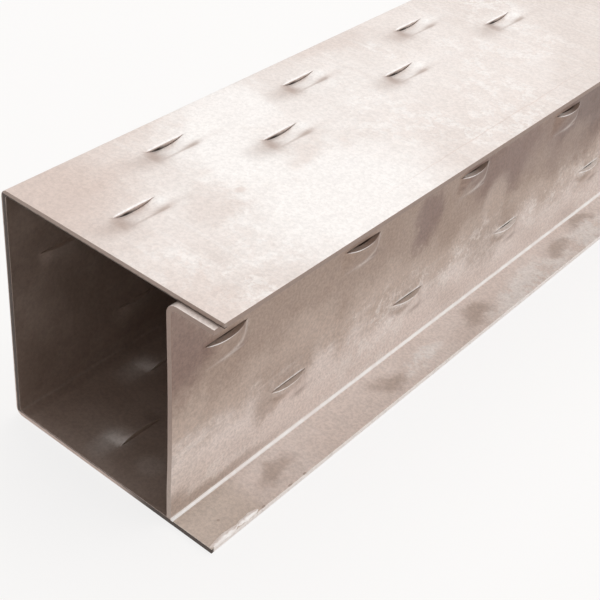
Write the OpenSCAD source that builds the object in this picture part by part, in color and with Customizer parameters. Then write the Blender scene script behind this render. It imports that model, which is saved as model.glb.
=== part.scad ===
// Galvanised steel box lintel: a folded channel closed by a web sheet, with plaster keys
// lanced and pressed through all four faces of the box.
// Millimetres, +Z up, +Y along the length, origin at the middle of the underside.

/* [Overall] */
// Length over all, from the web's proud corner to the far end
lintel_length = 900; // [600:50:2400]
// Width of the top and bottom plates
lintel_width = 140; // [120:1:200]
// Height over the top and bottom plates
lintel_height = 140; // [120:1:220]

/* [Sheet] */
// Thickness of the folded steel sheet
sheet_thick = 3; // [2:0.1:4]
// Inside radius of the two long bends of the channel
channel_bend = 1.5; // [0.5:0.1:4]

/* [Web] */
// Width of the ledge that the bottom plate forms outside the web
toe_width = 27; // [22:0.5:40]
// Inside radius of the bend between the web and its lip
lip_bend = 3; // [1:0.1:5]
// Distance of the lip's edge from the edge of the top plate
lip_setback = 2.5; // [0:0.1:6]
// Radius of the seam where the web stands on the bottom plate
root_radius = 3; // [1:0.1:6]
// Thickness of the seam at its two thin edges
root_edge = 0.4; // [0.2:0.1:1]
// Distance by which the web's upper corner stands proud of the channel's near end
web_proud = 3.5; // [0:0.1:6]

/* [Plaster keys] */
// Distance between the keys of one row
key_pitch = 103; // [80:1:160]
// Length of a key's slit
slit_length = 27; // [20:0.5:32]
// Depth to which the channel's tongues are pressed at the middle of their slits
channel_key_depth = 3.4; // [3.2:0.1:6]
// Depth to which the tongues of the web's leading row are pressed
web_leading_depth = 4.6; // [3.2:0.1:7]
// Depth to which the tongues of the web's trailing row are pressed
web_trailing_depth = 3.4; // [3.2:0.1:7]
// Width of a tongue of the channel, from its slit to its crease
channel_tongue = 11; // [8:0.5:14]
// Width of a tongue of the web, from its slit to its crease
web_tongue = 14; // [8:0.5:16]
// Middle of the first key of the leading rows, from the channel's near end
first_key = 33; // [25:0.5:60]
// Slit of the top plate's leading row, from the outside of the back wall
top_leading_slit = 53; // [40:0.5:60]
// Slit of the top plate's trailing row, from the outside of the back wall
top_trailing_slit = 22; // [12:0.5:30]
// Slit of the bottom plate's leading row, from the outside of the back wall
bottom_leading_slit = 59; // [50:0.5:70]
// Slit of the bottom plate's trailing row, from the outside of the back wall
bottom_trailing_slit = 28; // [22:0.5:36]
// Height of the slits of the back wall's leading row
back_leading_slit = 95; // [70:0.5:104]
// Height of the slits of the back wall's trailing row
back_trailing_slit = 33; // [24:0.5:60]
// Height of the slits of the web's leading row
web_leading_slit = 101; // [70:0.5:104]
// Height of the slits of the web's trailing row
web_trailing_slit = 40; // [28:0.5:60]

/* [Hidden] */
$fn = 64;
zinc_grey = [0.80, 0.75, 0.72];

// Channel
channel_length = lintel_length - web_proud;
near_end = web_proud - lintel_length / 2;
far_end = lintel_length / 2;
back_face = -lintel_width / 2;
edge_face = lintel_width / 2;

// Web, seated between the two plates
web_outside = edge_face - toe_width;
web_inside = web_outside - sheet_thick;
web_foot = sheet_thick;
web_top = lintel_height - sheet_thick;
web_rise = web_top - web_foot;
lip_edge = edge_face - lip_setback;
web_end_tilt = atan(web_proud / web_rise);

// Keys
press_reach = 2 * slit_length;
row_stagger = key_pitch / 2;
trim_margin = 5;

// Upright rectangle with its left corners rounded, the lower one only where asked
module bent_block(width, height, radius, lower_radius) {
    translate([radius, 0])
        square([width - radius, height]);
    translate([0, lower_radius])
        square([width, height - lower_radius - radius]);
    translate([lower_radius, 0])
        square([width - lower_radius, height - radius]);
    translate([radius, height - radius])
        circle(r = radius);
    if (lower_radius > 0)
        translate([lower_radius, lower_radius])
            circle(r = lower_radius);
}

// Section of the channel: top plate, back wall and bottom plate, bent from one sheet
module channel_section() {
    outer_bend = channel_bend + sheet_thick;
    translate([back_face, 0])
        difference() {
            bent_block(lintel_width, lintel_height, outer_bend, outer_bend);
            translate([sheet_thick, sheet_thick])
                bent_block(lintel_width, lintel_height - 2 * sheet_thick, channel_bend, channel_bend);
        }
}

// Section of the web: an upright sheet with its lip bent out under the top plate
module web_section() {
    reach = lip_edge - web_inside;
    difference() {
        translate([web_inside, web_foot])
            bent_block(reach, web_rise, lip_bend + sheet_thick, 0);
        translate([web_outside, web_foot - sheet_thick])
            bent_block(reach, web_rise, lip_bend, 0);
    }
    root_section();
}

// Section of the hollow seam at the web's foot
module root_section() {
    leg = root_radius + root_edge;
    difference() {
        translate([web_outside - root_edge, web_foot])
            square([leg + root_edge, leg]);
        translate([web_outside + leg, web_foot + leg])
            circle(r = root_radius);
    }
}

// Length of stock with the given section, ending at the far end
module stock(length) {
    translate([0, far_end, 0])
        rotate([90, 0, 0])
            linear_extrude(length)
                children();
}

// Shape of a pressed tongue, grown by the given skin and kept above the given level.
// The slit runs along X, the tongue lies towards +Y, and the press moves along +Z from
// the struck face to the depth of the row in hand. A flap leans down from the crease, and a
// round press bows it along the slit.
module pressed_tongue(width, skin, level) {
    lean = atan($row_depth / width);
    bow_radius = (slit_length * slit_length / 4 + $row_depth * $row_depth) / (2 * $row_depth);
    intersection() {
        translate([0, 0, $row_depth - bow_radius])
            rotate([-90, 0, 0])
                cylinder(r = bow_radius + skin, h = press_reach);
        translate([0, width, 0])
            rotate([-lean, 0, 0])
                translate([-press_reach, -press_reach, skin - press_reach])
                    cube([2 * press_reach, 2 * press_reach, press_reach]);
        translate([-press_reach, -press_reach, level])
            cube([2 * press_reach, 2 * press_reach, press_reach]);
    }
}

// Hollow that the press leaves in the struck face
module key_dent(width) {
    pressed_tongue(width, 0, -sheet_thick);
}

// Metal that the press raises on the far face
module key_tongue(width) {
    pressed_tongue(width, sheet_thick, sheet_thick / 2);
}

// Copies along the length, as many as the channel has room for, pressed to the given depth
module key_row(row, depth) {
    first = first_key + row * row_stagger;
    last = floor((channel_length - first - slit_length / 2) / key_pitch);
    $row_depth = depth;
    for (i = [0 : last])
        translate([0, near_end + first + i * key_pitch, 0])
            children();
}

// Keys of the top plate, struck downwards
module top_keys() {
    slits = [top_leading_slit, top_trailing_slit];
    for (row = [0, 1])
        key_row(row, channel_key_depth)
            translate([back_face + slits[row], 0, lintel_height])
                rotate([180, 0, 90])
                    children();
}

// Keys of the bottom plate, struck upwards
module bottom_keys() {
    slits = [bottom_leading_slit, bottom_trailing_slit];
    for (row = [0, 1])
        key_row(row, channel_key_depth)
            translate([back_face + slits[row], 0, 0])
                rotate([0, 0, 90])
                    children();
}

// Keys of the back wall, struck into the box
module back_keys() {
    slits = [back_leading_slit, back_trailing_slit];
    for (row = [0, 1])
        key_row(row, channel_key_depth)
            translate([back_face, 0, slits[row]])
                rotate([-90, 0, -90])
                    children();
}

// Keys of the web, struck outwards, over the toe
module web_keys() {
    slits = [web_leading_slit, web_trailing_slit];
    depths = [web_leading_depth, web_trailing_depth];
    for (row = [0, 1])
        key_row(row, depths[row])
            translate([web_inside, 0, slits[row]])
                rotate([-90, 0, -90])
                    children();
}

// Space in front of the web's end, which is cut a little out of square
module web_end_trim() {
    translate([back_face, near_end, web_foot])
        rotate([web_end_tilt, 0, 0])
            translate([0, -lintel_width, -lintel_height / 2])
                cube([2 * lintel_width, lintel_width, 2 * lintel_height]);
}

module outer_channel() {
    color(zinc_grey)
        difference() {
            union() {
                stock(channel_length)
                    channel_section();
                top_keys() key_tongue(channel_tongue);
                bottom_keys() key_tongue(channel_tongue);
                back_keys() key_tongue(channel_tongue);
            }
            top_keys() key_dent(channel_tongue);
            bottom_keys() key_dent(channel_tongue);
            back_keys() key_dent(channel_tongue);
        }
}

module web_sheet() {
    color(zinc_grey)
        difference() {
            union() {
                stock(lintel_length + trim_margin)
                    web_section();
                web_keys() key_tongue(web_tongue);
            }
            web_keys() key_dent(web_tongue);
            web_end_trim();
        }
}

outer_channel();
web_sheet();
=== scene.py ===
import math
import random
from collections import namedtuple

import bmesh
import bpy
from mathutils import Matrix, Vector, noise


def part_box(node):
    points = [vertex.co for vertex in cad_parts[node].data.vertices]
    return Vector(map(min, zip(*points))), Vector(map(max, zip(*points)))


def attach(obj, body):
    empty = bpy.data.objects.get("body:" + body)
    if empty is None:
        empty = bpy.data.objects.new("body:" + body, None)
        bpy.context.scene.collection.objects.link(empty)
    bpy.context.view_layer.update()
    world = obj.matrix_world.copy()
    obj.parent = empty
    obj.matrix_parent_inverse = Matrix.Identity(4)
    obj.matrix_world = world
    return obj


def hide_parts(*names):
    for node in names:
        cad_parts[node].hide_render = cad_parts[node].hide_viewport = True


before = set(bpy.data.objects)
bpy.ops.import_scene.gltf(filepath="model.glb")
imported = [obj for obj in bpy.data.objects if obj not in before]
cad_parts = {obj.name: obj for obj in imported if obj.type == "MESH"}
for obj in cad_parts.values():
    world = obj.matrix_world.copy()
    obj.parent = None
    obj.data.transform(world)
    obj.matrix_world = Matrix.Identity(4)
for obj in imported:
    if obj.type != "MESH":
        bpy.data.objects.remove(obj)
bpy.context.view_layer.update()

# Folded channel
# One 3 mm sheet of hot-dip galvanised steel, bent twice into a top plate, a back wall and a
# bottom plate whose free edge is the toe. Plaster keys are slit through all three plates in
# staggered rows, and their tongues are pressed into the box.
mm = 0.001
hair = 0.01 * mm
channel_low, channel_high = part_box("outer_channel")
sheet_thick = 3 * mm
bend_outside = 4.5 * mm
bend_steps = 6
edge_round = 0.35 * mm

key_pitch = 103 * mm
key_stagger = key_pitch / 2
first_key = channel_low.y + 33 * mm
slit_half = 13.5 * mm
channel_tongue = 11 * mm
top_depth = 2.8 * mm
inner_depth = 2.3 * mm
crease_round = 1.1 * mm
edge_drag = 0.45 * mm
drag_reach = 4 * mm
least_press, most_press = 0.92, 1.08
key_chance = random.Random(11)

before_slit = [-6 * mm, -3 * mm, -1.2 * mm]
past_crease = 5 * mm
tongue_line_gap = 1.35 * mm
half_key = [step * mm for step in (0, 2, 4, 6, 8, 10, 12, 13.5, 15, 17)]
least_line_gap = 0.5 * mm
top_lines, toe_lines = [40 * mm, 12 * mm], [-20 * mm, -45 * mm]
top_wave, back_wave = 0.35 * mm, 0.5 * mm

# A plate holds a point of its struck face, the way across from a slit to its crease, the way the
# press moves, the slits' places across the plate, the tongues' width and the rows' depths.
Plate = namedtuple("Plate", "face across press slits tongue depths")
along_x, along_z = Vector((1, 0, 0)), Vector((0, 0, 1))
top_plate = Plate(
    Vector((0, 0, channel_high.z)), along_x, -along_z,
    (-17 * mm, -48 * mm), channel_tongue, (top_depth, top_depth),
)
bottom_plate = Plate(
    Vector((0, 0, channel_low.z)), -along_x, along_z,
    (11 * mm, 42 * mm), channel_tongue, (inner_depth, inner_depth),
)
back_wall = Plate(
    Vector((channel_low.x, 0, 0)), -along_z, along_x,
    (-95 * mm, -33 * mm), channel_tongue, (inner_depth, inner_depth),
)


def draw_run(bm, tip, stops):
    """Draws a sheet's section on from its tip, straight to each stop in turn."""
    for stop in stops:
        tip = bmesh.ops.extrude_vert_indiv(bm, verts=[tip])["verts"][0]
        tip.co = stop
    return tip


def draw_bend(bm, tip, centre, degrees):
    """Bends a sheet's section on from its tip, about an axis along the length."""
    turned = bmesh.ops.spin(
        bm, geom=[tip], cent=centre, axis=(0, 1, 0), angle=math.radians(degrees),
        steps=bend_steps, use_merge=False,
    )
    return turned["geom_last"][0]


def key_rows(plate, length_end):
    """Yields each row's number, slit, depth, and the places of its keys along the length."""
    for row, (slit, depth) in enumerate(zip(plate.slits, plate.depths)):
        first = first_key + row * key_stagger
        count = int((length_end - slit_half - first) / key_pitch) + 1
        yield row, slit, depth, [first + i * key_pitch for i in range(count)]


def lines_across(plate):
    """Places across a plate where its mesh needs a line, close together over the keys."""
    reach = plate.tongue + past_crease
    steps = round(reach / tongue_line_gap)
    over_tongue = [reach * i / steps for i in range(steps + 1)]
    return sorted(slit + place for slit in plate.slits for place in before_slit + over_tongue)


def lines_along(low, high):
    """Places along the length where a sheet's mesh needs a line, close together at the keys."""
    places = {low, high}
    middle = first_key
    while middle - slit_half < high:
        for step in half_key:
            places.update((middle - step, middle + step))
        middle += key_stagger
    kept = [low]
    for place in sorted(places):
        if kept[-1] + least_line_gap < place < high - least_line_gap:
            kept.append(place)
    return kept + [high]


def draw_out(bm, places):
    """Draws the section out along the length, with a row of edges at each place."""
    bmesh.ops.translate(bm, verts=bm.verts, vec=(0, places[0], 0))
    row = list(bm.edges)
    for before, after in zip(places, places[1:]):
        grown = bmesh.ops.extrude_edge_only(bm, edges=row)["geom"]
        ends = {v for v in grown if isinstance(v, bmesh.types.BMVert)}
        bmesh.ops.translate(bm, verts=list(ends), vec=(0, after - before, 0))
        row = [e for e in grown if isinstance(e, bmesh.types.BMEdge) and ends.issuperset(e.verts)]
    bmesh.ops.recalc_face_normals(bm, faces=bm.faces)


def soft_min(first, second, round_off):
    """The smaller of two heights, with the corner between them rounded off."""
    share = min(max(0.5 + 0.5 * (second - first) / round_off, 0), 1)
    return second + (first - second) * share - round_off * share * (1 - share)


def bow_and_flap(along, across, tongue, depth):
    """The forms that limit a tongue: the press's round bow along the slit, and a leaning flap."""
    bow_radius = (slit_half ** 2 + depth ** 2) / (2 * depth)
    bow = math.sqrt(max(bow_radius ** 2 - along ** 2, 0)) - bow_radius + depth
    return bow, depth * (1 - across / tongue)


def press_depth(along, across, tongue, depth):
    """How far the press moves a point of a tongue."""
    pressed = soft_min(*bow_and_flap(along, across, tongue, depth), crease_round)
    return -soft_min(-pressed, 0, crease_round)


press_and_painted_light_marks = (
    "key_halo", "key_press", "key_slope", "key_near", "key_far", "slit_highlight",
    "slit_shade", "slit_gap", "tongue_shade", "crease_line", "crease_end", "crease_arc",
)
slope_height = 0.9 * mm
slope_reach = 3 * mm
slope_fade = 4 * mm
arc_ring, arc_width = 0.97, 0.11
line_level, line_lean = 0.65, 0.35
plate_highlight = 0.45


def struck_verts(bm, plate):
    """The points that lie on a plate's struck face."""
    return [v for v in bm.verts if abs((v.co - plate.face).dot(plate.press)) < hair]


def slit_keys(bm, plate, rows):
    """Cuts the slits of a plate's keys."""
    edges = {e for v in struck_verts(bm, plate) for e in v.link_edges}
    cuts = []
    for edge in edges:
        middle = (edge.verts[0].co + edge.verts[1].co) / 2
        across = [(v.co - plate.face).dot(plate.across) for v in edge.verts]
        for row, slit, depth, places in rows:
            on_slit = max(abs(a - slit) for a in across) < hair
            if on_slit and min(abs(middle.y - place) for place in places) < slit_half:
                cuts.append(edge)
    bmesh.ops.split_edges(bm, edges=cuts)


def round_marks(along, across, tongue):
    """Yields the round marks about a key, by name, and how strongly each shows at a point. All but
    key_halo place painted shade and painted highlights.
    """
    # Each has its middle along and across from the slit's middle, and its reach in millimetres.
    for name, (at_along, at_across), (reach_along, reach_across) in (
        ("key_halo", (0, tongue / 2), (22, 12)),
        ("key_near", (-13 * mm, 0.6 * tongue), (6.5, 6.5)),
        ("key_far", (13.5 * mm, 0.4 * tongue), (3.5, 3.5)),
        ("crease_end", (9.5 * mm, tongue - 1 * mm), (6, 2)),
        ("slit_gap", (-4.5 * mm, 0), (4, 2)),
        ("slit_shade", (0, -3.2 * mm), (9, 2.6)),
        ("tongue_shade", (-8 * mm, 0.35 * tongue), (7, 2.6)),
    ):
        aside = (along - at_along) / reach_along
        ahead = (across - at_across) / reach_across
        away = Vector((aside, ahead)).length / mm
        yield name, math.exp(-away ** 2)


def lance_keys(bm, plate, length_end):
    """Slits a plate's keys, presses their tongues out, and notes how far the press moved each point
    and where shade and highlights are painted about the keys.
    """
    layers = bm.verts.layers.float
    for name in press_and_painted_light_marks:
        if name not in layers:
            layers.new(name)
    layer = {name: layers[name] for name in press_and_painted_light_marks}
    rows = list(key_rows(plate, length_end))
    slit_keys(bm, plate, rows)

    moves = []
    first_slit = plate.slits[0]
    crease_line = min(lines_across(plate), key=lambda a: abs(a - first_slit - plate.tongue))
    crease_at = crease_line - first_slit
    strengths = [
        [key_chance.uniform(least_press, most_press) for place in places] for *_, places in rows
    ]
    for vert in struck_verts(bm, plate):
        shift = 0
        for row, slit, depth, places in rows:
            nearest = min(range(len(places)), key=lambda i: abs(vert.co.y - places[i]))
            along = vert.co.y - places[nearest]
            across = (vert.co - plate.face).dot(plate.across) - slit
            side = sum((f.calc_center_median() - vert.co).dot(plate.across) for f in vert.link_faces)
            pressed = depth * strengths[row][nearest]
            on_rim = across > -hair and side > 0 and abs(along) < slit_half
            on_tongue = across > hair or on_rim
            if on_tongue:
                moved = press_depth(along, across, plate.tongue, pressed)
                shift += moved
                vert[layer["key_press"]] = max(vert[layer["key_press"]], moved / pressed)
                ring = math.hypot(along / slit_half, across / plate.tongue)
                far_side = min(max(0.5 + along / slit_half, 0), 1)
                arc = math.exp(-((ring - arc_ring) / arc_width) ** 2) * far_side
                vert[layer["crease_arc"]] = max(vert[layer["crease_arc"]], arc)
            else:
                dragged = min(press_depth(along, 0, plate.tongue, pressed), edge_drag)
                shift += dragged * max(1 + across / drag_reach, 0) ** 2
            in_reach = across < plate.tongue + slope_reach and abs(along) < slit_half + slope_fade
            if on_tongue and in_reach:
                bow, flap = bow_and_flap(along, across, plate.tongue, pressed)
                fade = 1 - max(abs(along) - slit_half, 0) / slope_fade
                steep = min(max((flap - bow) / slope_height, 0), 1) * fade
                vert[layer["key_slope"]] = math.copysign(max(steep, 0), along)
            for name, strength in round_marks(along, across, plate.tongue):
                vert[layer[name]] = max(vert[layer[name]], strength)
            # A painted highlight runs along both edges of each slit, and the crease line carries a
            # painted dark line on the top plate and a painted highlight on the web.
            inside_ends = max(1 - (along / slit_half) ** 6, 0)
            if abs(across) < hair:
                highlight_share = line_level - line_lean * along / slit_half if on_tongue else 1
                vert[layer["slit_highlight"]] = inside_ends * highlight_share
            if abs(across - before_slit[-1]) < hair:
                vert[layer["slit_highlight"]] = inside_ends * plate_highlight
            if abs(across - crease_at) < hair:
                creased = line_level + line_lean * along / slit_half
                vert[layer["crease_line"]] = inside_ends * creased
        moves.append((vert, shift))
    for vert, shift in moves:
        vert.co += plate.press * shift


wave_fade = 25 * mm
tongue_height = 8 * mm


def wave_sheet(bm, plate, height, span):
    """Gives a plate the slight waves of folded sheet, dying out towards its bends and edges."""
    for vert in bm.verts:
        across = (vert.co - plate.face).dot(plate.across)
        lifted = (vert.co - plate.face).dot(plate.press)
        inside = min(across - span[0], span[1] - across)
        if -hair < lifted < tongue_height and inside > 0:
            fade = min(inside / wave_fade, 1)
            swell = noise.noise(Vector((vert.co.y * 13, across * 16, plate.face.length * 90)))
            vert.co += plate.press * height * swell * fade * fade * (3 - 2 * fade)


def sheet_object(name, bm, plate, materials, shell_steps):
    """Makes a folded sheet an object, with its thickness and its slightly rounded edges."""
    bm.normal_update()
    facing = 0
    for face in bm.faces:
        if abs((face.calc_center_median() - plate.face).dot(plate.press)) < hair:
            facing += face.normal.dot(plate.press)
    if facing > 0:
        bmesh.ops.reverse_faces(bm, faces=bm.faces)
    mesh = bpy.data.meshes.new(name)
    bm.to_mesh(mesh)
    bm.free()
    for polygon in mesh.polygons:
        polygon.use_smooth = True
    made = bpy.data.objects.new(name, mesh)
    bpy.context.scene.collection.objects.link(made)
    for material in materials:
        mesh.materials.append(material)
    thicken = made.modifiers.new("sheet thickness", "SOLIDIFY")
    thicken.thickness = sheet_thick
    thicken.offset = -1
    thicken.use_even_offset = True
    thicken.material_offset, thicken.material_offset_rim = shell_steps
    ease = made.modifiers.new("eased edges", "BEVEL")
    ease.width = edge_round
    ease.segments = 2
    ease.limit_method = "ANGLE"
    ease.angle_limit = math.radians(50)
    ease.harden_normals = True
    return made


def node(tree, kind, inputs=(), **settings):
    """Adds a shader node with its settings, and sets or links its inputs."""
    made = tree.nodes.new(kind)
    for name, value in settings.items():
        setattr(made, name, value)
    for socket, value in dict(inputs).items():
        if isinstance(value, bpy.types.NodeSocket):
            tree.links.new(value, made.inputs[socket])
        else:
            made.inputs[socket].default_value = value
    return made


def maths(tree, how, first, second=0.0, third=0.0):
    """A sum on two or three values."""
    made = node(tree, "ShaderNodeMath", {0: first, 1: second, 2: third}, operation=how)
    return made.outputs[0]


def clouds(tree, place, scale, detail=4.0, rough=0.55, twist=0.0):
    """Noise from 0 to 1, with patches of about one metre over the scale."""
    made = node(tree, "ShaderNodeTexNoise", {
        "Vector": place, "Scale": scale, "Detail": detail, "Roughness": rough, "Distortion": twist,
    })
    return made.outputs[0]


def spread(tree, value, low, high, to_low=0.0, to_high=1.0):
    """Stretches the range from low to high over another range, smoothly, and holds the ends."""
    made = node(tree, "ShaderNodeMapRange", {
        "Value": value, "From Min": low, "From Max": high, "To Min": to_low, "To Max": to_high,
    }, interpolation_type="SMOOTHSTEP")
    return made.outputs[0]


def mix(tree, share, first, second, how="MIX"):
    """Mixes two colours by a share."""
    inputs = {0: share, 6: first, 7: second}
    return node(tree, "ShaderNodeMix", inputs, data_type="RGBA", blend_type=how).outputs[2]


def stretched(tree, place, scale):
    """The same place, drawn out differently along each axis."""
    return node(tree, "ShaderNodeMapping", {"Vector": place, "Scale": scale}).outputs[0]


def new_material(name):
    """A node material, with its tree, its shader and its object coordinates."""
    material = bpy.data.materials.new(name)
    material.use_nodes = True
    tree = material.node_tree
    shader = tree.nodes["Principled BSDF"]
    place = node(tree, "ShaderNodeTexCoord").outputs["Object"]
    return material, tree, shader, place


def grained(tree, place, colour, strength):
    """A colour broken up by the fine crystals of the zinc."""
    crystals = clouds(tree, place, 560, 3, 0.75)
    glints = spread(tree, crystals, 0.3, 0.7, 1 - strength, 1 + strength)
    return mix(tree, 1.0, colour, glints, "MULTIPLY")


def lace(tree, place, scale, patches):
    """The lacy bloom of white zinc salts, from 0 to 1, in given patches and in scattered ones."""
    threads = spread(tree, clouds(tree, place, scale, 9, 0.82), 0.50, 0.55)
    where = spread(tree, clouds(tree, place, 13, 2, 0.5), 0.50, 0.62)
    return maths(tree, "MULTIPLY", threads, maths(tree, "MAXIMUM", where, patches))


def wander(tree, place, reach):
    """The same place, pushed about by noise, so that stains get ragged outlines."""
    push = node(tree, "ShaderNodeTexNoise", {
        "Vector": place, "Scale": 42, "Detail": 7.0, "Roughness": 0.68,
    })
    centred = node(tree, "ShaderNodeVectorMath", {
        0: push.outputs["Color"], 1: (0.5, 0.5, 0.5),
    }, operation="SUBTRACT")
    pushed = node(tree, "ShaderNodeVectorMath", {
        0: centred.outputs[0], 1: (reach, reach, reach), 2: place,
    }, operation="MULTIPLY_ADD")
    return pushed.outputs[0]


def stains(tree, place, soft, spots):
    """Oval stains, each given by its middle and its reach: 1 inside them and 0 outside."""
    strongest = 0.0
    for middle, reach in spots:
        about = node(tree, "ShaderNodeVectorMath", {0: place, 1: middle}, operation="SUBTRACT")
        scaled = node(tree, "ShaderNodeVectorMath", {
            0: about.outputs[0], 1: reach,
        }, operation="DIVIDE")
        length = node(tree, "ShaderNodeVectorMath", {0: scaled.outputs[0]}, operation="LENGTH")
        away = length.outputs["Value"]
        strongest = maths(tree, "MAXIMUM", spread(tree, away, 1 + soft, 1 - soft), strongest)
    return strongest


def part_of(tree, value, strength):
    """A part of a value."""
    return maths(tree, "MULTIPLY", value, strength)


def mark(tree, name, strength):
    """A mark kept with a sheet's mesh: the depth of the press, and the places of the painted shade
    and painted highlights about its keys.
    """
    left = node(tree, "ShaderNodeAttribute", attribute_name=name).outputs["Fac"]
    inputs = {0: left, 1: strength}
    return node(tree, "ShaderNodeMath", inputs, operation="MULTIPLY", use_clamp=True).outputs[0]


def zinc_finish(tree, shader, place, colour, rough):
    """Satin zinc: half metal, with uneven gloss and the faint relief of its crystals."""
    tree.links.new(colour, shader.inputs["Base Color"])
    shader.inputs["Metallic"].default_value = 0.55
    gloss = clouds(tree, place, 34, 6, 0.7)
    uneven = spread(tree, gloss, 0.4, 0.62, rough - 0.05, rough + 0.07)
    tree.links.new(uneven, shader.inputs["Roughness"])
    relief = clouds(tree, place, 120, 3, 0.5)
    height = maths(tree, "MULTIPLY_ADD", clouds(tree, place, 900, 3, 0.6), 0.25, relief)
    bump = node(tree, "ShaderNodeBump", {"Strength": 0.2, "Distance": 0.25 * mm, "Height": height})
    tree.links.new(bump.outputs[0], shader.inputs["Normal"])


def on_top(along, across):
    """A point of the top plate, from its near end and from the back wall."""
    return (channel_low.x + across * mm, channel_low.y + along * mm, channel_high.z)


zinc_white = (0.96, 0.942, 0.926, 1)
zinc_pale = (0.835, 0.775, 0.742, 1)
zinc_grey = (0.76, 0.69, 0.652, 1)
zinc_dull = (0.69, 0.582, 0.53, 1)
zinc_shade = (0.46, 0.365, 0.32, 1)


def zinc_skin():
    """The zinc on the outside of the channel, with a white bloom, a darker near end, and painted
    shade and painted highlights about its keys.
    """
    material, tree, shader, place = new_material("zinc_skin")
    drifted = wander(tree, place, 0.055)
    drifts = spread(tree, clouds(tree, drifted, 11, 4, 0.6), 0.40, 0.60)
    colour = mix(tree, drifts, zinc_grey, zinc_pale)
    white = stains(tree, drifted, 0.45, [
        (on_top(110, 112), (0.045, 0.060, 0.02)),
        (on_top(101, 60), (0.040, 0.030, 0.02)),
        (on_top(130, 20), (0.032, 0.036, 0.02)),
    ])
    wash = stains(tree, drifted, 0.6, [
        (on_top(160, 50), (0.034, 0.100, 0.02)),
        (on_top(64, 68), (0.040, 0.026, 0.02)),
    ])
    white = maths(tree, "MAXIMUM", part_of(tree, white, 0.86), part_of(tree, wash, 0.42))
    colour = mix(tree, white, colour, zinc_white)
    across_streaks = clouds(tree, stretched(tree, place, (9, 210, 9)), 1, 3, 0.6)
    colour = mix(tree, spread(tree, across_streaks, 0.54, 0.70, 0.0, 0.25), colour, zinc_white)
    patches = stains(tree, drifted, 0.5, [
        (on_top(188, 84), (0.032, 0.022, 0.02)),
        (on_top(14, 106), (0.026, 0.010, 0.02)),
        (on_top(54, 112), (0.024, 0.012, 0.02)),
        (on_top(242, 120), (0.007, 0.028, 0.02)),
        (on_top(250, 30), (0.012, 0.008, 0.02)),
    ])
    colour = mix(tree, part_of(tree, lace(tree, place, 105, patches), 0.5), colour, zinc_white)
    darker_corner = stains(tree, drifted, 0.6, [(on_top(0, 4), (0.056, 0.056, 0.2))])
    edge = stains(tree, drifted, 0.7, [
        (on_top(58, 0), (0.015, 0.055, 0.05)),
        (on_top(228, 0), (0.013, 0.032, 0.05)),
        (on_top(0, 124), (0.030, 0.014, 0.05)),
        (on_top(640, 0), (0.013, 0.2, 0.05)),
    ])
    spots = stains(tree, drifted, 0.5, [
        (on_top(131, 74), (0.011, 0.018, 0.01)),
        (on_top(60, 76), (0.012, 0.014, 0.01)),
        (on_top(10, 108), (0.009, 0.008, 0.01)),
    ])
    darker_edges_and_spots = maths(tree, "MAXIMUM", part_of(tree, edge, 0.5), part_of(tree, spots, 0.36))
    colour = mix(tree, maths(tree, "MAXIMUM", darker_corner, darker_edges_and_spots), colour, zinc_dull)
    scratch = stains(tree, wander(tree, place, 0.004), 0.5, [
        (on_top(235, 126.5), (0.0004, 0.090, 0.01)),
        (on_top(80, 76.5), (0.0022, 0.003, 0.01)),
    ])
    colour = mix(tree, part_of(tree, scratch, 0.45), colour, zinc_dull)
    colour = mix(tree, mark(tree, "key_halo", 0.3), colour, zinc_white)
    # Painted shade on the near-end slopes, creases and crease ends of the keys, and painted
    # highlights past their far ends and along their slits.
    colour = mix(tree, mark(tree, "key_near", 0.9), colour, zinc_shade)
    colour = mix(tree, mark(tree, "key_slope", -0.6), colour, zinc_shade)
    colour = mix(tree, mark(tree, "key_far", 0.9), colour, zinc_white)
    colour = mix(tree, mark(tree, "crease_line", 0.9), colour, zinc_shade)
    colour = mix(tree, mark(tree, "crease_end", 0.8), colour, zinc_shade)
    colour = mix(tree, spread(tree, mark(tree, "slit_highlight", 1.0), 0.3, 0.7), colour, zinc_white)
    zinc_finish(tree, shader, place, grained(tree, place, colour, 0.08), 0.40)
    return material


toe_root = 43 * mm


def on_toe(along, outwards):
    """A point of the toe's upper face, from the near end and from the web."""
    return (toe_root + outwards * mm, channel_low.y + along * mm, sheet_thick)


toe_beige = (0.71, 0.637, 0.578, 1)
toe_mid = (0.82, 0.742, 0.70, 1)
toe_light = (0.85, 0.783, 0.747, 1)
toe_pale = (0.90, 0.85, 0.82, 1)
reflected_brown = (0.52, 0.435, 0.385, 1)
inside_shade_dark = (0.36, 0.285, 0.245, 1)
inside_shade_light = (0.48, 0.395, 0.35, 1)
lip_pale = (0.86, 0.79, 0.755, 1)


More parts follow.
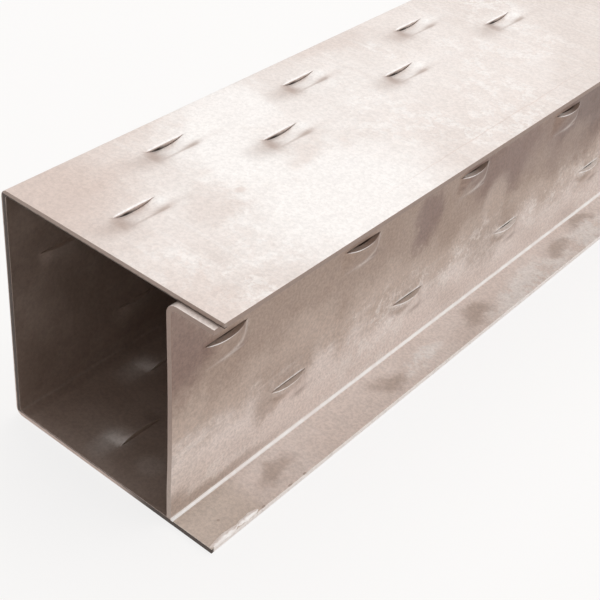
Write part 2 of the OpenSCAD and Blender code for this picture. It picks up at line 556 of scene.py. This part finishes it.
def zinc_inside():
    """The zinc inside the box, with painted shade all over it and painted light on its keys, and
    brighter on the toe outside, where the web's keys show as painted reflections.
    """
    material, tree, shader, place = new_material("zinc_inside")
    x, y, z = node(tree, "ShaderNodeSeparateXYZ", {0: place}).outputs
    drifted = wander(tree, place, 0.03)
    dust = spread(tree, clouds(tree, drifted, 26, 6, 0.65), 0.38, 0.62)
    # The inside is painted shade: its colour is dark all over, lighter on the floor and darker on the
    # back wall.
    shaded_inside = mix(tree, dust, inside_shade_dark, inside_shade_light)
    on_floor = spread(tree, z, 12 * mm, 8 * mm)
    on_back = spread(tree, x, -58 * mm, -62 * mm)
    shaded_inside = mix(tree, part_of(tree, on_floor, 0.8), shaded_inside, inside_shade_light)
    shaded_inside = mix(tree, part_of(tree, on_back, 0.5), shaded_inside, inside_shade_dark)
    # Painted light on the pressed tongues inside, and painted highlights on the near slopes and near
    # ends of the floor keys.
    shaded_inside = mix(tree, mark(tree, "key_press", 0.22), shaded_inside, zinc_grey)
    near_slope = maths(tree, "MULTIPLY", mark(tree, "key_slope", -1.0), on_floor)
    shaded_inside = mix(tree, near_slope, shaded_inside, zinc_white)
    near_spot = maths(tree, "MULTIPLY", mark(tree, "key_near", 0.8), on_floor)
    shaded_inside = mix(tree, near_spot, shaded_inside, zinc_white)
    proud_end = spread(tree, y, channel_low.y + 1 * mm, channel_low.y - 1 * mm)
    lip_end = maths(tree, "MULTIPLY", proud_end, spread(tree, z, 126 * mm, 134 * mm))
    shaded_inside = mix(tree, lip_end, shaded_inside, lip_pale)
    scuff = stains(tree, place, 0.6, [
        ((10 * mm, channel_low.y + 19 * mm, sheet_thick), (0.007, 0.007, 0.01)),
    ])
    shaded_inside = mix(tree, part_of(tree, scuff, 0.5), shaded_inside, zinc_grey)
    toe_drifts = spread(tree, clouds(tree, drifted, 20, 7, 0.7), 0.42, 0.62)
    toe = mix(tree, toe_drifts, toe_mid, toe_light)
    toe = mix(tree, spread(tree, y, channel_low.y + 46 * mm, channel_low.y + 30 * mm), toe, toe_beige)
    blotches = stains(tree, drifted, 0.4, [
        (on_toe(190, 17), (0.006, 0.018, 0.01)),
        (on_toe(300, 21), (0.010, 0.048, 0.01)),
        (on_toe(370, 18), (0.010, 0.034, 0.01)),
    ])
    broken_up = spread(tree, clouds(tree, place, 75, 6, 0.75), 0.36, 0.52)
    blotches = maths(tree, "MULTIPLY", blotches, broken_up)
    toe = mix(tree, part_of(tree, blotches, 0.85), toe, zinc_white)
    # Painted reflections of the web's keys: soft brown ovals on the toe.
    key_reflections = stains(tree, drifted, 0.6, [
        (on_toe(62, 14.5), (0.006, 0.013, 0.01)),
        (on_toe(157, 14.5), (0.006, 0.013, 0.01)),
        (on_toe(250, 14), (0.006, 0.014, 0.01)),
        (on_toe(346, 14), (0.006, 0.012, 0.01)),
        (on_toe(386, 8), (0.005, 0.014, 0.01)),
    ])
    toe = mix(tree, part_of(tree, key_reflections, 0.75), toe, reflected_brown)
    specks = stains(tree, place, 0.3, [
        (on_toe(16, 16.5), (0.0007, 0.0008, 0.01)),
        (on_toe(38, 26.4), (0.0007, 0.0012, 0.01)),
        (on_toe(58.5, 26.4), (0.0007, 0.0015, 0.01)),
        (on_toe(70, 26.4), (0.0007, 0.0012, 0.01)),
    ])
    toe = mix(tree, part_of(tree, specks, 0.7), toe, zinc_shade)
    toe_side = maths(tree, "MULTIPLY", spread(tree, x, 40 * mm, 43 * mm), on_floor)
    colour = mix(tree, toe_side, shaded_inside, toe)
    zinc_finish(tree, shader, place, grained(tree, place, colour, 0.11), 0.42)
    return material


cut_spotted = (0.20, 0.15, 0.125, 1)


def cut_finish(tree, shader, place, colour):
    """Bare cut steel under thin zinc: rough, spotted and half metal."""
    spots = spread(tree, clouds(tree, place, 420, 4, 0.7), 0.45, 0.7, 0.0, 0.22)
    tree.links.new(mix(tree, spots, colour, cut_spotted), shader.inputs["Base Color"])
    shader.inputs["Metallic"].default_value = 0.5
    shader.inputs["Roughness"].default_value = 0.5
    grit = clouds(tree, place, 500, 3, 0.6)
    bump = node(tree, "ShaderNodeBump", {"Strength": 0.4, "Distance": 0.3 * mm, "Height": grit})
    tree.links.new(bump.outputs[0], shader.inputs["Normal"])


cut_bright = (0.40, 0.32, 0.28, 1)
cut_burnished_lit = (0.66, 0.54, 0.485, 1)
cut_brown = (0.36, 0.275, 0.235, 1)
cut_dark = (0.075, 0.056, 0.047, 1)


def channel_cuts():
    """Cut edges of the channel: zinc in the slits, a bright and a torn band on the sheared ends, and
    painted shade and painted light on them.
    """
    material, tree, shader, place = new_material("channel_cuts")
    x, y, z = node(tree, "ShaderNodeSeparateXYZ", {0: place}).outputs
    ragged = maths(tree, "MULTIPLY_ADD", clouds(tree, place, 260, 4, 0.6), 1.0 * mm, -0.5 * mm)
    from_top = maths(tree, "SUBTRACT", channel_high.z, z)
    from_back = maths(tree, "SUBTRACT", x, channel_low.x)
    below_top = spread(tree, maths(tree, "ADD", from_top, ragged), 1.9 * mm, 2.4 * mm)
    below_back = spread(tree, maths(tree, "ADD", from_back, ragged), 0.7 * mm, 1.2 * mm)
    above_floor = spread(tree, maths(tree, "ADD", z, ragged), 2.2 * mm, 2.8 * mm)
    toe_end = spread(tree, x, 0.0, 30 * mm)
    torn_low = maths(tree, "MAXIMUM", above_floor, toe_end)
    torn = maths(tree, "MINIMUM", maths(tree, "MINIMUM", below_top, below_back), torn_low)
    # The sheared ends are painted lighter towards the bottom: a burnished band that is also painted
    # light on the bottom plate's end, which lies in shade.
    burnished_and_lit = mix(tree, spread(tree, z, 60 * mm, 8 * mm), cut_bright, cut_burnished_lit)
    ends = mix(tree, torn, burnished_and_lit, cut_dark)
    on_back = spread(tree, x, -58 * mm, -62 * mm)
    box_side = maths(tree, "MAXIMUM", on_back, spread(tree, z, 12 * mm, 8 * mm))
    pitted = spread(tree, clouds(tree, place, 330, 3, 0.6), 0.40, 0.62)
    # Painted shade darkens the lower half of the cut face in each slit's gap, towards its near end;
    # slit faces inside the box take the painted shade of the inside.
    low_half = spread(tree, from_top, 0.9 * mm, 1.6 * mm)
    gaping = maths(tree, "MULTIPLY", mark(tree, "slit_gap", 0.95), low_half)
    slits = mix(tree, gaping, mix(tree, pitted, zinc_grey, zinc_dull), cut_dark)
    slits = mix(tree, box_side, slits, inside_shade_light)
    # The long edges are painted browner higher up: painted shade, as on the web.
    long_edges = mix(tree, spread(tree, z, 20 * mm, 90 * mm), toe_pale, cut_brown)
    colour = mix(tree, spread(tree, x, 65 * mm, 68 * mm), slits, long_edges)
    near_end = spread(tree, y, channel_low.y + 2 * mm, channel_low.y + 1 * mm)
    far_end = spread(tree, y, channel_high.y - 2 * mm, channel_high.y - 1 * mm)
    colour = mix(tree, maths(tree, "MAXIMUM", near_end, far_end), colour, ends)
    cut_finish(tree, shader, place, colour)
    return material


skin, inside = zinc_skin(), zinc_inside()

bm = bmesh.new()
tip = bm.verts.new((channel_high.x, 0, channel_high.z))
top_stops = list(reversed(lines_across(top_plate))) + [channel_low.x + bend_outside]
tip = draw_run(bm, tip, [(x, 0, channel_high.z) for x in top_lines + top_stops])
tip = draw_bend(bm, tip, (channel_low.x + bend_outside, 0, channel_high.z - bend_outside), -90)
back_stops = lines_across(back_wall) + [-bend_outside]
tip = draw_run(bm, tip, [(channel_low.x, 0, -down) for down in back_stops])
tip = draw_bend(bm, tip, (channel_low.x + bend_outside, 0, bend_outside), -90)
bottom_stops = list(reversed(lines_across(bottom_plate)))
draw_run(bm, tip, [(-x, 0, 0) for x in bottom_stops + toe_lines + [-channel_high.x]])
draw_out(bm, lines_along(channel_low.y, channel_high.y))
for plate in (top_plate, back_wall, bottom_plate):
    lance_keys(bm, plate, channel_high.y)
wave_sheet(bm, top_plate, top_wave, (-60 * mm, 32 * mm))
wave_sheet(bm, back_wall, back_wave, (-132 * mm, -8 * mm))
channel = sheet_object("folded_channel", bm, top_plate, [skin, inside, channel_cuts()], (1, 2))
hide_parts("outer_channel")
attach(channel, "root")

# Web
# A second sheet of the same steel that closes the box. Its foot stands on the bottom plate, and
# its top is bent outwards into a lip under the top plate. Its keys are pressed out over the toe.
web_low, web_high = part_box("web_sheet")
web_bend = 6 * mm
web_proud = channel_low.y - web_low.y
end_fade = 30 * mm
foot_line = 12 * mm
web_wave = 1.1 * mm
web_tongue = 14 * mm
upper_depth, lower_depth = 3.6 * mm, 3.4 * mm
web_plate = Plate(
    Vector((web_low.x, 0, 0)), -along_z, along_x,
    (-101 * mm, -40 * mm), web_tongue, (upper_depth, lower_depth),
)


def on_web(along, height):
    """A point of the web's outside, from the channel's near end and from the floor."""
    return (web_low.x + sheet_thick, channel_low.y + along * mm, height * mm)


web_white = (0.90, 0.845, 0.81, 1)
web_pale = (0.82, 0.735, 0.695, 1)
web_mid = (0.535, 0.428, 0.366, 1)
web_brown = (0.40, 0.30, 0.244, 1)
web_dark = (0.265, 0.178, 0.148, 1)
web_darkest = (0.17, 0.115, 0.095, 1)


def web_zinc():
    """The zinc on the web's outside, with painted shade that makes it browner and darker under the
    lip and painted light that makes it paler towards the foot, and painted shade and highlights about
    its keys.
    """
    material, tree, shader, place = new_material("web_zinc_skin")
    drifted = wander(tree, place, 0.05)
    x, y, z = node(tree, "ShaderNodeSeparateXYZ", {0: drifted}).outputs
    # Painted shade and light: browner higher up under the lip, paler towards the foot.
    swell = maths(tree, "MULTIPLY_ADD", clouds(tree, place, 12, 2, 0.5), 44 * mm, -22 * mm)
    far_rise = spread(tree, y, channel_low.y + 270 * mm, channel_low.y + 340 * mm, 3 * mm, 9 * mm)
    level = maths(tree, "ADD", maths(tree, "ADD", z, swell), far_rise)
    colour = mix(tree, spread(tree, level, 32 * mm, 62 * mm), web_pale, web_mid)
    colour = mix(tree, spread(tree, level, 62 * mm, 90 * mm), colour, web_brown)
    dark = stains(tree, drifted, 0.45, [
        (on_web(2, 106), (0.1, 0.019, 0.026)),
        (on_web(197, 88), (0.1, 0.011, 0.019)),
        (on_web(246, 96), (0.1, 0.020, 0.009)),
        (on_web(285, 87), (0.1, 0.040, 0.020)),
        (on_web(370, 84), (0.1, 0.050, 0.028)),
        (on_web(364, 100), (0.1, 0.032, 0.020)),
        (on_web(352, 72), (0.1, 0.024, 0.012)),
        (on_web(500, 90), (0.1, 0.050, 0.020)),
        (on_web(690, 94), (0.1, 0.070, 0.018)),
    ])
    colour = mix(tree, part_of(tree, dark, 0.95), colour, web_dark)
    darkest = stains(tree, drifted, 0.5, [(on_web(374, 90), (0.1, 0.030, 0.024))])
    colour = mix(tree, part_of(tree, darkest, 0.5), colour, web_darkest)
    shade = stains(tree, drifted, 0.5, [
        (on_web(78, 51), (0.1, 0.024, 0.009)),
        (on_web(68, 34), (0.1, 0.012, 0.012)),
        (on_web(274, 46), (0.1, 0.026, 0.022)),
        (on_web(312, 72), (0.1, 0.020, 0.016)),
        (on_web(250, 70), (0.1, 0.010, 0.010)),
        (on_web(358, 68), (0.1, 0.030, 0.014)),
    ])
    colour = mix(tree, part_of(tree, shade, 0.6), colour, web_brown)
    # A pale oval painted as the reflection of a shallow dent.
    dent_reflection = stains(tree, wander(tree, place, 0.016), 0.35, [
        (on_web(270, 66), (0.1, 0.013, 0.017)),
    ])
    colour = mix(tree, part_of(tree, dent_reflection, 0.65), colour, web_mid)
    lower = spread(tree, z, 62 * mm, 38 * mm)
    patches = stains(tree, drifted, 0.5, [
        (on_web(142, 36), (0.1, 0.024, 0.011)),
        (on_web(230, 36), (0.1, 0.032, 0.010)),
        (on_web(325, 34), (0.1, 0.028, 0.009)),
        (on_web(30, 14), (0.1, 0.030, 0.006)),
    ])
    threads = maths(tree, "MULTIPLY", lace(tree, place, 58, patches), lower)
    colour = mix(tree, part_of(tree, threads, 0.6), colour, web_white)
    lightened = clouds(tree, stretched(tree, place, (5, 8, 190)), 1, 4, 0.6)
    lightened = maths(tree, "MULTIPLY", spread(tree, lightened, 0.5, 0.7, 0.0, 0.3), lower)
    colour = mix(tree, lightened, colour, web_white)
    # Painted shadow along the web's foot, above the seam.
    foot_shadow = stains(tree, wander(tree, place, 0.012), 0.6, [
        (on_web(10, 7), (0.1, 0.060, 0.004)),
        (on_web(2, 11), (0.1, 0.010, 0.009)),
    ])
    colour = mix(tree, part_of(tree, foot_shadow, 0.6), colour, web_brown)
    low_row = spread(tree, z, 75 * mm, 65 * mm)
    over_slits = maths(tree, "MULTIPLY", mark(tree, "slit_shade", 0.65), low_row)
    colour = mix(tree, over_slits, colour, web_brown)
    under_slits = maths(tree, "MULTIPLY", mark(tree, "tongue_shade", 0.75), low_row)
    colour = mix(tree, under_slits, colour, web_brown)
    # Painted shade on the far slopes and crease ends of the keys, and painted highlights on their
    # crease lines, on the crease arcs of the upper row and along the slits.
    colour = mix(tree, mark(tree, "key_slope", 0.12), colour, web_dark)
    colour = mix(tree, mark(tree, "crease_end", 0.65), colour, web_dark)
    colour = mix(tree, mark(tree, "crease_line", 0.3), colour, web_white)
    high_row = maths(tree, "SUBTRACT", 1.0, low_row)
    arcs = maths(tree, "MULTIPLY", mark(tree, "crease_arc", 0.5), high_row)
    colour = mix(tree, arcs, colour, web_white)
    on_tongue = spread(tree, mark(tree, "key_press", 1.0), 0.05, 0.2)
    rims = maths(tree, "MAXIMUM", low_row, on_tongue)
    slit_highlighted = spread(tree, mark(tree, "slit_highlight", 1.0), 0.3, 0.7)
    colour = mix(tree, maths(tree, "MULTIPLY", slit_highlighted, rims), colour, zinc_white)
    zinc_finish(tree, shader, place, grained(tree, place, colour, 0.14), 0.38)
    return material


slit_brown = (0.44, 0.355, 0.31, 1)
sheared_pale = (0.52, 0.435, 0.385, 1)
sheared_brown = (0.37, 0.28, 0.24, 1)


def web_cuts():
    """Cut edges of the web: zinc in the slits, with painted highlights and painted reflections on
    their faces, and brown on its ends and the lip's long edge, browner higher up as painted shade.
    """
    material, tree, shader, place = new_material("web_cuts")
    x, y, z = node(tree, "ShaderNodeSeparateXYZ", {0: place}).outputs
    near_end = spread(tree, y, channel_low.y + 2 * mm, channel_low.y + 0.5 * mm)
    far_end = spread(tree, y, channel_high.y - 2 * mm, channel_high.y - 1 * mm)
    lip_edge = spread(tree, x, 60 * mm, 63 * mm)
    outer = maths(tree, "MAXIMUM", lip_edge, maths(tree, "MAXIMUM", near_end, far_end))
    # Upper-row slit faces are brown, partly painted shade under the lip, with a painted highlight
    # along them, strongest in the farther keys; lower-row slit faces are painted pale in the farther
    # keys as a painted reflection.
    farther = spread(tree, y, channel_low.y + 190 * mm, channel_low.y + 220 * mm, 0.25, 1.0)
    slit_highlighted = spread(tree, mark(tree, "slit_highlight", 1.0), 0.5, 0.85)
    lightened = maths(tree, "MULTIPLY", slit_highlighted, farther)
    high_row = mix(tree, lightened, slit_brown, zinc_white)
    low_row = mix(tree, farther, web_mid, web_white)
    slits = mix(tree, spread(tree, z, 65 * mm, 75 * mm), low_row, high_row)
    # The ends and the lip's long edge are painted browner higher up: painted shade, as on the web's
    # face.
    sheared = mix(tree, spread(tree, z, 15 * mm, 80 * mm), sheared_pale, sheared_brown)
    cut_finish(tree, shader, place, mix(tree, outer, slits, sheared))
    return material


bm = bmesh.new()
tip = bm.verts.new((web_low.x, 0, web_low.z))
web_stops = [-down for down in reversed(lines_across(web_plate))]
web_stops = [foot_line] + web_stops + [web_high.z - web_bend]
tip = draw_run(bm, tip, [(web_low.x, 0, z) for z in web_stops])
tip = draw_bend(bm, tip, (web_low.x + web_bend, 0, web_high.z - web_bend), 90)
draw_run(bm, tip, [(web_high.x, 0, web_high.z)])
draw_out(bm, lines_along(channel_low.y, web_high.y))
lance_keys(bm, web_plate, web_high.y)
wave_sheet(bm, web_plate, web_wave, (-126 * mm, -10 * mm))
for vert in bm.verts:
    rise = (vert.co.z - web_low.z) / (web_high.z - web_low.z)
    near = max(1 - (vert.co.y - channel_low.y) / end_fade, 0)
    vert.co.y -= web_proud * rise * near
web = sheet_object("folded_web", bm, web_plate, [inside, web_zinc(), web_cuts()], (1, 2))
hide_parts("web_sheet")
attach(web, "root")

# Root seam
# The hollow fillet of zinc that fills the corner between the web's foot and the bottom plate,
# left there when the box was dipped.
seam_radius = 1.35 * mm
seam_sunk = 0.2 * mm
web_outside = web_low.x + sheet_thick
# The seam's near-white colour is partly a painted highlight along the fillet; the zinc run on the toe
# uses the same material.
seam_dull = (0.91, 0.86, 0.835, 1)
seam_pale = (0.98, 0.965, 0.95, 1)


def seam_zinc():
    """Bright, smooth zinc where it ran together in the dip, painted near white partly as a painted
    highlight along the fillet.
    """
    material, tree, shader, place = new_material("seam_zinc")
    patches = spread(tree, clouds(tree, place, 90, 5, 0.7), 0.35, 0.60)
    colour = mix(tree, patches, seam_dull, seam_pale)
    zinc_finish(tree, shader, place, colour, 0.34)
    return material


def piece_object(name, bm, material):
    """Makes a closed piece an object, smooth all over and facing outwards."""
    bmesh.ops.recalc_face_normals(bm, faces=bm.faces)
    mesh = bpy.data.meshes.new(name)
    bm.to_mesh(mesh)
    bm.free()
    for polygon in mesh.polygons:
        polygon.use_smooth = True
    mesh.materials.append(material)
    made = bpy.data.objects.new(name, mesh)
    bpy.context.scene.collection.objects.link(made)
    return made


bm = bmesh.new()
start = bm.verts.new((web_outside + seam_radius, 0, web_low.z - seam_sunk))
tip = draw_run(bm, start, [(web_outside + seam_radius, 0, web_low.z)])
tip = draw_bend(bm, tip, (web_outside + seam_radius, 0, web_low.z + seam_radius), 90)
back = web_outside - seam_sunk
tip = draw_run(bm, tip, [(back, 0, web_low.z + seam_radius), (back, 0, web_low.z - seam_sunk)])
bmesh.ops.contextual_create(bm, geom=[tip, start])
draw_out(bm, lines_along(channel_low.y, channel_high.y))
bmesh.ops.holes_fill(bm, edges=[e for e in bm.edges if e.is_boundary])
run_zinc = seam_zinc()
seam = piece_object("root_seam", bm, run_zinc)
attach(seam, "root")

# Zinc run on the toe
# A ragged ridge of zinc that froze along the toe's outer edge as the lintel was drawn from the
# dip, in two lumps from the near end.
run_height, run_width = 1.2 * mm, 1.7 * mm
run_inset = 1.5 * mm
run_overhang = 0.25 * mm
run_drift, coarse_rough, fine_rough = 0.6 * mm, 0.55 * mm, 0.22 * mm
run_lumps = ((0.2, 20, 1.0), (18, 35, 0.85))

bm = bmesh.new()
for first, last, swell in run_lumps:
    half = (last - first) / 2 * mm
    middle = Vector((channel_high.x - run_inset, channel_low.y + first * mm + half, sheet_thick))
    lump = bmesh.ops.create_icosphere(bm, subdivisions=5, radius=1)["verts"]
    bmesh.ops.scale(bm, verts=lump, vec=(run_width * swell, half, run_height * swell))
    bmesh.ops.translate(bm, verts=lump, vec=middle)
    for vert in lump:
        rough = noise.noise(vert.co * 380) * coarse_rough + noise.noise(vert.co * 1200) * fine_rough
        drift = noise.noise(Vector((vert.co.y * 190, first, 0))) * run_drift
        vert.co += Vector((drift - abs(rough) * 0.3, 0, rough))
        vert.co.x = min(vert.co.x, channel_high.x + run_overhang)
run = piece_object("toe_zinc_run", bm, run_zinc)
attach(run, "root")

# Camera
# Stands in front of the near end, a little to the right, and looks down at the photograph's angle
# and tilt.
eye = Vector((330.9, -752.2, 460.4)) * mm
heading, pitch, roll = 36.27, -37.21, 5.87
focal_length = 75.55
camera = bpy.data.objects.new("camera", bpy.data.cameras.new("camera"))
bpy.context.scene.collection.objects.link(camera)
camera.data.lens = focal_length
camera.data.clip_start, camera.data.clip_end = 0.05, 60
turn = (
    Matrix.Rotation(math.radians(heading), 4, "Z")
    @ Matrix.Rotation(math.radians(90 + pitch), 4, "X")
    @ Matrix.Rotation(math.radians(roll), 4, "Z")
)
camera.matrix_world = Matrix.Translation(eye) @ turn
bpy.context.scene.camera = camera

# Floor and light
# A plain white floor and room, one large soft lamp above and behind, and a dim warm fill. The zinc
# mirrors the white room and not the lamp.
floor_half = 15
floor_grey = (0.84, 0.82, 0.80, 1)
floor_shown = 0.8
fill_brown = (0.45, 0.40, 0.37, 1)
plain_white = (1, 1, 1, 1)
lamp_place, lamp_aim = Vector((0.3, 0.9, 2.6)), Vector((0, -0.2, 0.1))
lamp_size, lamp_watts = 4.2, 88
lamp_white = (1, 0.99, 0.98)

floor_mesh = bpy.data.meshes.new("floor")
bm = bmesh.new()
bmesh.ops.create_grid(bm, x_segments=1, y_segments=1, size=floor_half)
bm.to_mesh(floor_mesh)
bm.free()
floor = bpy.data.objects.new("floor", floor_mesh)
bpy.context.scene.collection.objects.link(floor)
material, tree, shader, place = new_material("floor_white")
shader.inputs["Base Color"].default_value = floor_grey
shader.inputs["Roughness"].default_value = 0.9
shader.inputs["Specular IOR Level"].default_value = 0.1


def seen_rays(tree):
    """1 for what the camera sees, straight or in metal or glass, and 0 for light on the object."""
    rays = node(tree, "ShaderNodeLightPath").outputs
    mirrored = maths(tree, "MAXIMUM", rays["Is Glossy Ray"], rays["Is Transmission Ray"])
    return maths(tree, "MAXIMUM", rays["Is Camera Ray"], mirrored)


white = node(tree, "ShaderNodeEmission", {"Color": plain_white, "Strength": 1.0})
seen = maths(tree, "MULTIPLY", seen_rays(tree), floor_shown)
shown = node(tree, "ShaderNodeMixShader", {0: seen, 1: shader.outputs[0], 2: white.outputs[0]})
tree.links.new(shown.outputs[0], tree.nodes["Material Output"].inputs[0])
floor_mesh.materials.append(material)

world = bpy.data.worlds.new("room")
bpy.context.scene.world = world
world.use_nodes = True
tree = world.node_tree
room = tree.nodes["Background"]
room.inputs["Color"].default_value = fill_brown
backdrop = node(tree, "ShaderNodeBackground", {"Color": plain_white, "Strength": 1.0})
shown = node(tree, "ShaderNodeMixShader", {
    0: seen_rays(tree), 1: room.outputs[0], 2: backdrop.outputs[0],
})
tree.links.new(shown.outputs[0], tree.nodes["World Output"].inputs[0])

lamp = bpy.data.objects.new("top_lamp", bpy.data.lights.new("top_lamp", "AREA"))
bpy.context.scene.collection.objects.link(lamp)
lamp.data.shape = "SQUARE"
lamp.data.size = lamp_size
lamp.data.energy = lamp_watts
lamp.data.color = lamp_white
lamp.location = lamp_place
lamp.rotation_euler = (lamp_aim - lamp_place).to_track_quat("-Z", "Y").to_euler()
lamp.visible_camera = False
lamp.visible_glossy = False

bpy.context.scene.view_settings.view_transform = "Standard"
